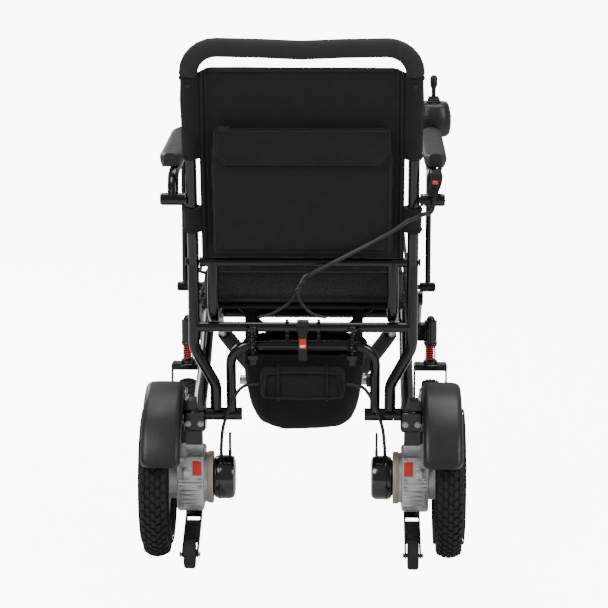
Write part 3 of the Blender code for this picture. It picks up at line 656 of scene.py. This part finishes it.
def bag():
    """The bag under the seat: a sagging shell with a bound rim, a centre seam and hanging straps."""
    low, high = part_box("under_seat_bag")
    middle_y = (low.y + high.y) / 2
    levels, sides = 18, 56
    rings = []
    for level in range(levels + 1):
        t = level / levels
        drop = 1 - math.cos(t * math.pi / 2)
        close = math.sqrt(max(0.0, 1 - t ** 5))
        half_x = high.x * (1 - 0.20 * t) * (0.25 + 0.75 * close)
        half_y = (high.y - low.y) / 2 * (1 - 0.15 * t) * (0.25 + 0.75 * close)
        z = high.z - (high.z - low.z) * (0.35 * t + 0.65 * math.sin(t * math.pi / 2)) - 0.002 * drop
        ring = []
        for angle in angles(sides):
            c, s = math.cos(angle), math.sin(angle)
            square = (abs(c) ** 4 + abs(s) ** 4) ** -0.25
            ripple = 1 + 0.030 * noise.noise(Vector((c * 2.2, s * 2.2, z * 16)))
            pinch = 1 - 0.05 * math.exp(-(c / 0.10) ** 2) * math.sin(math.pi * t)
            ring.append(Vector((half_x * c * square * ripple,
                                middle_y + half_y * s * square * ripple * pinch, z)))
        rings.append(ring)
    shell = loft("under_seat_bag_cloth", rings, open_start=True)
    wall = shell.modifiers.new("Wall", "SOLIDIFY")
    wall.thickness = 0.0025
    wall.offset = 1.0
    wrinkle(applied(shell), 0.045, 0.0035, (1, 1, 0.5), 3.0)
    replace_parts(dressed(shell, "seat", FABRIC), "under_seat_bag")
    rim = [p.copy() for p in rings[0]] + [rings[0][0].copy()]
    piping("bag_binding", rim, 0.0030, "seat")
    seam_k = round(sides * 0.75)
    seam = [ring[seam_k] + Vector((0, -0.001, 0)) for ring in rings[:-2]]
    piping("bag_seam", seam, 0.0017, "seat")
    seat_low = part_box("seat_sling")[0].z
    straps = []
    for _, side in SIDES:
        for y in (low.y + 0.020, high.y - 0.020):
            x = side * (high.x - 0.014)
            straps.append(rounded_box("strap", (x - 0.010, y - 0.001, high.z - 0.020),
                                      (x + 0.010, y + 0.001, seat_low + 0.001), 0.0006, 1))
    dressed(joined("bag_straps", straps), "seat", WEBBING)


# ---- armrests and controls
def armrest_pads():
    """Each armrest's rounded pad, on its base plate and screws."""
    for name, side in SIDES:
        low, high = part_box("armrest_pad_" + name)
        centre_x, half_x = (low.x + high.x) / 2, (high.x - low.x) / 2
        rings = []
        for row in range(25):
            t = row / 24
            y = low.y + (high.y - low.y) * t
            end = min(1.0, math.sin(math.pi * min(t, 1 - t) * 6) if min(t, 1 - t) < 1 / 12 else 1.0)
            end = 0.55 + 0.45 * end
            dip = 0.0012 * math.sin(math.pi * t)
            ring = []
            for angle in angles(28):
                c, s = math.cos(angle), math.sin(angle)
                square = (abs(c) ** 3.2 + abs(s) ** 3.2) ** (-1 / 3.2)
                z = (low.z + high.z) / 2 + (high.z - low.z) / 2 * s * square
                z = low.z if s < -0.6 else z - dip
                ring.append(Vector((centre_x + half_x * c * square * end, y, z)))
            rings.append(ring)
        pad = dressed(loft("armrest_pad_skin_" + name, rings), "armrest_" + name, PAD)
        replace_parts(pad, "armrest_pad_" + name)
        plate = rounded_box("armrest_base_" + name, (low.x + 0.005, low.y + 0.010, low.z - 0.0025),
                            (high.x - 0.005, high.y - 0.010, low.z + 0.002), 0.001, 1)
        dressed(plate, "armrest_" + name, MOULDED)
        screws = []
        for y in (low.y + 0.05, high.y - 0.05):
            screws.append(bolt(Vector((centre_x - side * 0.012, y, low.z - 0.002)),
                               (0, 0, -1), 0.0028, 0.002, 12))
        dressed(joined("armrest_screws_" + name, screws), "armrest_" + name, ZINC)


def controller():
    """The joystick's shell, panel, seam, buttons and bellows."""
    low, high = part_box("joystick_box")
    middle, reach = (low + high) / 2, (high - low) / 2

    def pod_ring(t, grow=0.0):
        """A rounded outline of the controller's shell, t of the way up it."""
        swell = 0.84 + 0.16 * math.sin(math.pi * (0.9 * t + 0.08))
        foot = math.sqrt(1 - (max(0.0, 0.16 - t) / 0.16) ** 2)
        shoulder = math.sqrt(1 - (max(0.0, t - 0.90) / 0.10) ** 2)
        size = swell * (0.62 + 0.38 * foot) * (0.92 + 0.08 * shoulder)
        ring = []
        for angle in angles(48):
            c, s = math.cos(angle), math.sin(angle)
            square = (abs(c) ** 3.2 + abs(s) ** 3.2) ** (-1 / 3.2)
            ring.append(Vector((middle.x + (reach.x * size + grow) * c * square,
                                middle.y + (reach.y * size + grow) * s * square,
                                low.z + (high.z - low.z) * t)))
        return ring

    pod = loft("controller_shell", [pod_ring(t / 24) for t in range(25)])
    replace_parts(dressed(pod, "armrest_right", SHELL), "joystick_box")
    panel = rounded_box("controller_panel", (low.x + 0.014, low.y + 0.014, high.z - 0.001),
                        (high.x - 0.014, high.y - 0.014, high.z + 0.0004), 0.0006, 2)
    dressed(panel, "armrest_right", CAP)
    seam = pod_ring(0.62, 0.0001)
    dressed(hose("controller_seam", seam + seam[:1], 0.0008, 6), "armrest_right", MOULDED)
    buttons = []
    for i in range(3):
        x = low.x + 0.016 + 0.0175 * i
        buttons.append(bolt(Vector((x, low.y + 0.020, high.z)), (0, 0, 1), 0.0046, 0.0025, 20))
    dressed(joined("controller_buttons", buttons), "armrest_right", PAD)
    x, y, _ = JOINTS["joystick_y"]["pos_m"]
    base = high.z - 0.001
    rings = []
    for row in range(13):
        t = row / 12
        r = 0.0160 - 0.0060 * t + 0.0012 * math.cos(t * 6 * math.pi)
        rings.append([Vector((x + r * math.cos(a), y + r * math.sin(a), base + 0.0135 * t))
                      for a in angles(24)])
    bellows = dressed(loft("joystick_bellows", rings), None, PAD)
    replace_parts(bellows, "joystick_gimbal")
    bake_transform(bellows)


def armrest_cables():
    """The controller's cable: along the armrest, past its pivot and on to the back."""
    x = ARM_PIVOT.x + 0.022
    pivot = Vector((x, ARM_PIVOT.y - 0.020, ARM_PIVOT.z + 0.004))
    run_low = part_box("armrest_pad_right")[0].z - 0.010
    box_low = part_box("joystick_box")[0]
    ahead = smooth_path([pivot, (x + 0.004, ARM_PIVOT.y - 0.010, run_low - 0.004),
                         (x + 0.012, ARM_PIVOT.y + 0.060, run_low + 0.002),
                         (x + 0.016, ARM_PIVOT.y + 0.200, run_low + 0.001),
                         (x + 0.012, box_low.y + 0.010, box_low.z + 0.012)])
    upper = hose("cable_armrest", ahead, 0.0042, 10)
    dressed(upper, None, CABLE)
    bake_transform(upper)
    cable_low, cable_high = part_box("joystick_cable")
    join = Vector((cable_high.x - 0.002, cable_low.y + 0.0042, cable_high.z - 0.006))
    behind = smooth_path([join, join + Vector((0.018, 0.000, 0.009)), join + Vector((0.036, 0.006, 0.014)),
                          pivot])
    lower = hose("cable_to_back", behind, 0.0042, 10)
    dressed(lower, None, CABLE)
    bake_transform(lower)
    wrap_path = smooth_path([pivot + Vector((-0.002, 0.000, 0.006)),
                             Vector((x + 0.003, ARM_PIVOT.y - 0.008, run_low - 0.006)),
                             Vector((x + 0.006, ARM_PIVOT.y + 0.014, run_low + 0.001))], 8)
    boot = hose("cable_boot", wrap_path, 0.0105, 18,
                lambda t, a: (0.8 + 0.25 * math.sin(math.pi * t)) * (1 + 0.10 * math.sin(3 * a + 9 * t)))
    dressed(boot, None, FABRIC)
    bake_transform(boot)
    red = rounded_box("armrest_release", (x - 0.004, ARM_PIVOT.y - 0.028, run_low - 0.014),
                      (x + 0.006, ARM_PIVOT.y - 0.022, run_low - 0.007), 0.002)
    dressed(red, "armrest_right", RED_PATCH)


def back_cables():
    """The cable's ties and the two branches that go on to the drives."""
    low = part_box("joystick_cable")[0]
    end = Vector((-0.010, HINGE.y - 0.028, low.z + 0.003))
    branches = {
        "left": [end, (-0.026, KNEE.y - 0.024, KNEE.z + 0.050), (-0.055, KNEE.y - 0.020, KNEE.z + 0.030),
                 (-0.082, KNEE.y - 0.013, KNEE.z + 0.021)],
        "right": [end, (0.000, KNEE.y - 0.026, KNEE.z + 0.048), (0.018, KNEE.y - 0.022, KNEE.z + 0.030),
                  (0.042, KNEE.y - 0.013, KNEE.z + 0.021)]}
    for name, points in branches.items():
        dressed(hose("cable_branch_" + name, smooth_path(points), 0.0030, 8), "back", CABLE)
    ties = []
    for x, q in ((0.030, 0.003), (0.006, -0.022), (-0.006, -0.042)):
        centre = on_back(x, q, -0.032)
        ring = [centre + Vector((0.0062 * math.cos(a), 0.0062 * math.sin(a), 0.003 * math.cos(a)))
                for a in angles(14, closed=True)]
        ties.append(hose("tie", ring, 0.0013, 6))
    dressed(joined("cable_ties", ties), "back", MOULDED)


def link_soft_parts():
    """The cable wrap on the rear link, and the cables that run from it to the motors."""
    wrap = padded("cable_wrap_cloth", "cable_wrap", 0.005, 4.0, 0.006)
    wrinkle(wrap, 0.035, 0.0022, (1, 1, 1.4), 5.0)
    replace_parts(dressed(wrap, "link", FABRIC), "cable_wrap")
    low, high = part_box("cable_wrap")
    for i, x in enumerate((-0.045, 0.045)):
        loop = [Vector((x, (low.y + high.y) / 2 + 0.0205 * math.cos(a), (low.z + high.z) / 2
                        + 0.0325 * math.sin(a))) for a in angles(28, closed=True)]
        dressed(hose(f"wrap_strap_{i}", loop, 0.0022, 6), "link", WEBBING)
    rim = [(low.x + 0.006, low.z + 0.006), (low.x + 0.011, high.z - 0.009), (-0.010, high.z - 0.005),
           (high.x - 0.014, high.z - 0.008), (high.x - 0.006, low.z + 0.006), (0.0, low.z + 0.003),
           (low.x + 0.006, low.z + 0.006)]
    piping("wrap_binding", [Vector((x, low.y - 0.0025, z)) for x, z in rim], 0.0020, "link")
    for name, side in SIDES:
        motor_low, motor_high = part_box("motor_cover_" + name)
        start = Vector((side * 0.1520, AXLE.y - 0.016, motor_high.z - 0.004))
        end = Vector((side * (high.x - 0.008), (low.y + high.y) / 2, (low.z + high.z) / 2))
        middle = [(side * 0.1515, AXLE.y - 0.034, motor_high.z + 0.030),
                  (side * 0.1440, AXLE.y - 0.048, motor_high.z + 0.080),
                  (side * 0.1150, AXLE.y - 0.052, low.z + 0.020)]
        cable = hose("drive_cable_" + name, smooth_path([start, *middle, end]), 0.0032, 8)
        dressed(cable, None, CABLE)
        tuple(middle[1])
        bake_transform(cable)


# ---- wheels
def tread_radius(across, outer, depth, half):
    """The crown of a tyre: full radius in the middle, falling away to its shoulders."""
    return outer - depth * (1 - math.sqrt(max(0.0, 1 - (across / half) ** 2 * 0.92)))


def tyre(name, node, body, blocks, rows, lug):
    """A tyre with a rounded carcass and rows of raised blocks."""
    low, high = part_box(node)
    centre = (low + high) / 2
    outer, half = (high.z - low.z) / 2, (high.x - low.x) / 2
    depth = outer * 0.16
    inner = outer * (0.70 if blocks > 40 else 0.68)

    def point(angle, across, radius):
        return centre + Vector((across, radius * math.cos(angle), radius * math.sin(angle)))

    profile = []
    for k in range(18):
        angle = math.pi * k / 17
        across = half * 0.97 * math.cos(angle)
        profile.append((across, tread_radius(across, outer - lug, depth, half) if 3 < k < 14
                        else inner + (outer - lug - depth - inner)
                        * (0.25 + 0.75 * min(k, 17 - k) / 3.5)))
    profile.append((-half * 0.62, inner))
    profile.append((half * 0.62, inner))
    rings = []
    for angle in angles(blocks * 2):
        rings.append([point(angle, across, radius) for across, radius in profile])
    parts = [loft("carcass", rings, closed_path=True)]
    shape = bmesh.new()
    pitch = 2 * math.pi / blocks
    for block in range(blocks):
        for row in range(rows):
            across = half * (1.64 * (row + 0.5) / rows - 0.82)
            width = half * 1.64 / rows * 0.40
            shift = (row % 2) * pitch / 2
            corners = []
            for level in (-0.0015, 0.0):
                for da, dx in ((-0.33, -1), (0.33, -1), (0.33, 1), (-0.33, 1)):
                    place = across + width * dx
                    skew = pitch * 0.10 * dx * (1 if row < rows / 2 else -1)
                    radius = tread_radius(place, outer, depth, half) + level - (lug if level else 0)
                    corners.append(shape.verts.new(point(block * pitch + shift + da * pitch + skew,
                                                         place, radius)))
            shape.faces.new(corners[4:])
            for k in range(4):
                shape.faces.new((corners[k], corners[(k + 1) % 4], corners[4 + (k + 1) % 4],
                                 corners[4 + k]))
    bmesh.ops.recalc_face_normals(shape, faces=shape.faces)
    mesh = bpy.data.meshes.new("blocks")
    shape.to_mesh(mesh)
    shape.free()
    parts.append(made("blocks", mesh))
    wall = (outer + inner) / 2 - 0.004
    for side in (-1, 1):
        circle = [point(angle, side * half * 0.93, wall) for angle in angles(48, closed=True)]
        parts.append(hose("rib", circle, 0.0016, 6))
    whole = dressed(joined(name, parts), body, TYRE, smooth=35.0)
    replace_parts(whole, node)


def wheels():
    """Tyres for all four wheels, and the nuts on the rear hubs."""
    for name, side in SIDES:
        tyre("rear_tyre_tread_" + name, "rear_tyre_" + name, "wheel_" + name, 52, 5, 0.0032)
        tyre("caster_tyre_tread_" + name, "caster_tyre_" + name, "caster_" + name, 38, 5, 0.0022)
        low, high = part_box("rear_rim_" + name)
        hub = Vector(JOINTS["wheel_spin_" + name]["pos_m"])
        outer_face = high.x if side > 0 else low.x
        nuts = [bolt(Vector((outer_face, hub.y, hub.z)), (side, 0, 0), 0.0095, 0.007)]
        for k in range(5):
            angle = 2 * math.pi * (k + 0.5) / 5
            nuts.append(bolt(Vector((outer_face, hub.y + 0.019 * math.cos(angle),
                                     hub.z + 0.019 * math.sin(angle))), (side, 0, 0), 0.0030, 0.003))
        dressed(joined("wheel_nuts_" + name, nuts), "wheel_" + name, ZINC)


# ---- drives, fenders and fasteners
def drives():
    """Fins, bolts, plates and the rings round each gearbox and motor."""
    face = AXLE.y - 0.050
    case_inner, case_outer = 0.1845, 0.2325
    fin_bottom, fin_pitch, fin_height = 0.1095, 0.0085, 0.0026
    bracket_height = 0.2600
    ring_profile = ((0.1676, 0.0460), (0.1676, 0.0482), (0.1700, 0.0490), (0.1760, 0.0490),
                    (0.1782, 0.0482), (0.1782, 0.0460))
    for name, side in SIDES:
        motor_low, motor_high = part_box("motor_cover_" + name)
        motor_z = (motor_low.z + motor_high.z) / 2
        near, far = sorted((side * case_inner, side * case_outer))
        fins = []
        for k in range(4):
            z = fin_bottom + fin_pitch * k
            fins.append(rounded_box("fin", (near + 0.004, face - 0.0030, z),
                                    (far - 0.010, face + 0.001, z + fin_height), 0.0008, 1))
        dressed(joined("gearbox_fins_" + name, fins), "chassis", CAST)
        bolts = []
        for x in (near + 0.006, far - 0.006):
            for z in (0.104, 0.1430, 0.1570, 0.1965):
                bolts.append(bolt(Vector((x, face, z)), (0, -1, 0), 0.0034, 0.0034))
        for y in (AXLE.y - 0.012, AXLE.y + 0.012):
            bolts.append(bolt(Vector((side * 0.2215, y, bracket_height)), (side, 0, 0), 0.0045, 0.004))
        for x in (side * 0.190, side * 0.2130):
            bolts.append(bolt(Vector((x, AXLE.y - 0.0300, bracket_height)), (0, -1, 0), 0.0045, 0.004))
        dressed(joined("drive_bolts_" + name, bolts), "chassis", ZINC)
        for label, x, half, low, high, proud, round_off, segments, look in (
                ("patch", 0.196, 0.0085, 0.166, 0.194, 0.0012, 0.0006, 2, RED_PATCH),
                ("plate", 0.218, 0.009, 0.158, 0.182, 0.0010, 0.0005, 1, SILVER)):
            plate = rounded_box(f"drive_{label}_{name}", (side * x - half, face - proud, low),
                                (side * x + half, face + 0.001, high), round_off, segments)
            dressed(plate, "chassis", look)

        def around(x, r, closed=False):
            return [Vector((side * x, AXLE.y + r * math.cos(a), motor_z + r * math.sin(a)))
                    for a in angles(48, closed)]

        rings = [around(x, r) for x, r in ring_profile]
        dressed(loft("drive_ring_" + name, rings, closed_path=True), "chassis", BEIGE)
        band = hose("motor_band_" + name, around(0.1560, 0.0412, True), 0.0010, 6)
        dressed(band, "chassis", MOULDED)


def fender_width(along, length, half, corner):
    """The fender's half width, rounded in at both ends."""
    near = min(along, length - along)
    if near >= corner:
        return half
    return half - corner + math.sqrt(max(0.0, corner ** 2 - (corner - near) ** 2))


def fenders():
    """Smooth fender shells with a raised bead, on screwed brackets."""
    crown, lip, wall, corner = 0.1772, 0.0115, 0.0026, 0.016
    first, last = math.radians(80), math.radians(160)
    length = crown * (last - first)
    eased = [corner * (1 - math.cos(math.pi / 2 * k / 8)) for k in range(8)]
    stops = eased + [corner + (length - 2 * corner) * k / 40 for k in range(41)]
    stops += [length - along for along in reversed(eased)]
    for name, side in SIDES:
        low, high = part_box("fender_" + name)
        axle = Vector(JOINTS["wheel_spin_" + name]["pos_m"])
        middle, full = (low.x + high.x) / 2, (high.x - low.x) / 2

        def at(across, along, radius):
            angle = first + along / crown
            return Vector((middle + across, axle.y + radius * math.cos(angle),
                           axle.z + radius * math.sin(angle)))

        rings = []
        for along in stops:
            half = max(0.004, fender_width(along, length, full, corner))
            ring = []
            for inset, turn in ((0.0, 1), (wall, -1)):
                side_line = [(half - inset, 0.1580)]
                for k in range(7):
                    a = math.pi / 2 * k / 6
                    bend = min(lip, half * 0.9)
                    side_line.append((half - bend + (bend - inset) * math.cos(a),
                                      crown - lip + (lip - inset) * math.sin(a)))
                whole = side_line + [(-x, r) for x, r in reversed(side_line)]
                ring += [at(x, along, r) for x, r in whole[::turn]]
            rings.append(ring)
        shell = dressed(loft("fender_shell_" + name, rings), "chassis", SHELL)
        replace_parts(shell, "fender_" + name)
        inset = 0.0065
        sides = [(fender_width(along, length - inset, full - inset, corner - 0.004), along)
                 for along in stops if 0.010 < along < length - inset - 0.0002]
        outline = sides + [(-x, along) for x, along in reversed(sides)]
        bead = [at(x, along, crown - 0.0008 - 0.0045 * (abs(x) / full) ** 4) for x, along in outline]
        dressed(hose("fender_bead_" + name, bead, 0.0017, 8), "chassis", SHELL)
        inner = low.x if side > 0 else high.x
        bracket = rounded_box("fender_bracket_" + name,
                              (min(inner, inner - side * 0.004), axle.y - 0.020, 0.288),
                              (max(inner, inner - side * 0.004), axle.y + 0.012, 0.320), 0.001, 1)
        dressed(bracket, "chassis", SILVER)
        screws = [bolt(Vector((inner - side * 0.004, axle.y + y, 0.304)), (-side, 0, 0), 0.0040, 0.003)
                  for y in (-0.012, 0.004)]
        dressed(joined("fender_screws_" + name, screws), "chassis", ZINC)


def strut_coils():
    """The struts' coil springs, made once to the length of the CAD springs."""
    wire, turns, per_turn = 0.0015, 6, 24
    for name, _ in SIDES:
        low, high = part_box("strut_spring_" + name)
        middle, length = (low + high) / 2, high.z - low.z
        radius = (high.x - low.x) / 2 - wire
        path = []
        for k in range(turns * per_turn + 1):
            angle = 2 * math.pi * k / per_turn
            rise = wire + (length - 2 * wire) * k / (turns * per_turn)
            path.append(Vector((middle.x + radius * math.cos(angle),
                                middle.y + radius * math.sin(angle), low.z + rise)))
        coil = dressed(hose("strut_coil_" + name, path, wire, 8), "front", RED)
        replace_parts(coil, "strut_spring_" + name)
        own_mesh(coil)


def front_details():
    """Bands on the struts, and nuts on the casters and the anti-tip wheels."""
    for name, side in SIDES:
        x, y, _ = JOINTS["caster_swivel_" + name]["pos_m"]
        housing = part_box("strut_spring_" + name)[1].z
        band = [Vector((x + 0.0138 * math.cos(a), y + 0.0138 * math.sin(a), housing + 0.006))
                for a in angles(32, closed=True)]
        dressed(hose("strut_band_" + name, band, 0.0014, 6), "front", PAINT)
        axle = Vector(JOINTS["caster_spin_" + name]["pos_m"])
        fork_low, fork_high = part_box("caster_fork_" + name)
        nuts = [bolt(Vector((face, axle.y, axle.z)), (way, 0, 0), 0.0065, 0.004)
                for face, way in ((fork_low.x + 0.001, -1), (fork_high.x - 0.001, 1))]
        dressed(joined("fork_nuts_" + name, nuts), "fork_" + name, ZINC)
        wheel = Vector(JOINTS["antitip_spin_" + name]["pos_m"])
        nuts = [bolt(Vector((wheel.x + way * 0.0168, wheel.y, wheel.z)), (way, 0, 0), 0.0048, 0.0025)
                for way in (-1, 1)]
        dressed(joined("antitip_nuts_" + name, nuts), "chassis", ZINC)


def footrest_foam():
    """Foam sleeves on the footrest hanger, and the footplate's ribs."""
    low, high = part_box("footrest_hanger")
    for name, side in SIDES:
        start = Vector((side * 0.1665, low.y + 0.060, high.z - 0.053))
        end = Vector((side * 0.1155, low.y + 0.158, high.z - 0.146))
        path = [start.lerp(end, t / 14) for t in range(15)]
        sleeve = hose("hanger_foam_" + name, path, 0.0150, 20,
                      lambda t, a: 0.93 + 0.07 * math.sin(math.pi * t) ** 0.3)
        dressed(sleeve, "chassis", FOAM)
    plate_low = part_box("footplate")[0]
    ribs = []
    for k in range(9):
        y = plate_low.y + 0.045 + 0.0115 * k
        ribs.append(rounded_box("rib", (-0.105, y, 0.1756), (0.105, y + 0.004, 0.1772), 0.0006, 1))
    dressed(joined("footplate_ribs", ribs), "footplate_body", PAD)


def latch_patch():
    """The latch's plain coloured patches."""
    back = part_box("latch_hook")[0].y
    red = rounded_box("latch_patch_red", (-0.0062, back - 0.0010, 0.4080), (0.0062, back + 0.001, 0.4260),
                      0.0006, 2)
    dressed(red, "latch", RED_PATCH)
    white = rounded_box("latch_patch_white", (-0.0050, back - 0.0014, 0.4105),
                        (0.0050, back + 0.001, 0.4150), 0.0004, 1)
    dressed(white, "latch", WHITE_PATCH)


# ---- studio
def studio():
    """A pale floor, a white surround, four soft lights and the camera."""
    floor = sheet("floor", lambda u, v: Vector(((u - 0.5) * 30, (v - 0.35) * 30, -0.006)), 1, 1, 0.01)
    pale = surface("floor_pale", (0.88, 0.88, 0.88), 0.6, spread=0.01, grain=40)
    shader = pale.node_tree.nodes["Principled BSDF"]
    shader.inputs["Emission Color"].default_value = (1, 1, 1, 1)
    seen = pale.node_tree.nodes.new("ShaderNodeLightPath").outputs["Is Camera Ray"]
    pale.node_tree.links.new(scaled(pale.node_tree, seen, 0.0, 9.0), shader.inputs["Emission Strength"])
    floor.data.materials.append(pale)
    world = bpy.data.worlds.new("studio")
    world.use_nodes = True
    background = world.node_tree.nodes["Background"]
    background.inputs["Color"].default_value = (1, 1, 1, 1)
    seen = world.node_tree.nodes.new("ShaderNodeLightPath").outputs["Is Camera Ray"]
    world.node_tree.links.new(scaled(world.node_tree, seen, 0.32, 16.0), background.inputs["Strength"])
    SCENE.world = world
    for name, place, size, power in (("key", (-1.8, -2.2, 2.8), 1.4, 55),
                                     ("fill", (2.2, -1.8, 1.9), 1.2, 32),
                                     ("top", (0.2, 0.6, 3.2), 2.2, 55),
                                     ("rear", (-1.6, 2.4, 1.6), 1.2, 28)):
        light = bpy.data.lights.new(name, "AREA")
        light.energy = power
        light.size = size
        lamp = bpy.data.objects.new(name, light)
        lamp.location = place
        aim = Vector((0, 0, 0.5)) - Vector(place)
        lamp.rotation_euler = aim.to_track_quat("-Z", "Y").to_euler()
        SCENE.collection.objects.link(lamp)
    lens = bpy.data.cameras.new("camera")
    lens.lens = 150.7
    lens.sensor_width = 36.0
    camera = bpy.data.objects.new("camera", lens)
    camera.location = (0.096, AXLE.y - 4.6, 1.465)
    camera.rotation_euler = (math.radians(90 - 12.06), 0, math.radians(1.178))
    SCENE.collection.objects.link(camera)
    SCENE.camera = camera


back_sling()
tube_sleeves()
pocket()
flap()
cushion()
seat_sling()
bag()
armrest_pads()
controller()
armrest_cables()
back_cables()
link_soft_parts()
wheels()
drives()
fenders()
strut_coils()
front_details()
footrest_foam()
latch_patch()
studio()
